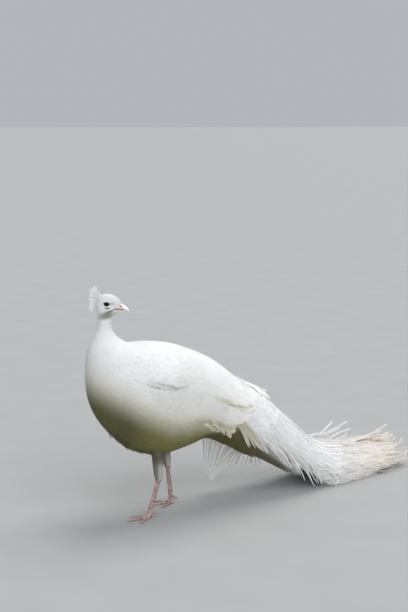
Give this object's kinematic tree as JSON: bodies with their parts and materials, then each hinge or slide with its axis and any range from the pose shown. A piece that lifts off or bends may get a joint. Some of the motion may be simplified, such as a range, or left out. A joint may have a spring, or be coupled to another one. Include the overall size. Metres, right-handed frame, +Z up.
{
  "type": "white peafowl model",
  "caption": "Life-size still model of a young white peafowl cock in mid stride, looking back, with a small fan crest, folded wings and a short train lying on the floor.",
  "frame": {"origin": "on the floor, under the middle of the bird's bounding box", "axes": "+X towards the tip of the train, +Y towards the bird's right side, +Z up; the bird's breast faces -X"},
  "size_m": [1.1998, 0.3376, 0.7153],
  "materials": {
    "plumage": "soft matt body feathers",
    "flight_feather": "smooth matt feather vanes",
    "bill_horn": "satin horn",
    "eye": "wet gloss",
    "leg_scale": "dry scales"
  },
  "bodies": {
    "root": {"head": "plumage", "neck": "plumage", "torso": "plumage", "thigh_left": "plumage", "thigh_right": "plumage", "tail": "flight_feather", "train": "flight_feather", "wing_left": "flight_feather", "wing_right": "flight_feather", "eye_left": "eye", "eye_right": "eye", "bill_upper": "bill_horn", "bill_lower": "bill_horn", "shank_left": "leg_scale", "shank_right": "leg_scale", "foot_left": "leg_scale", "foot_right": "leg_scale"}
  },
  "joints": []
}
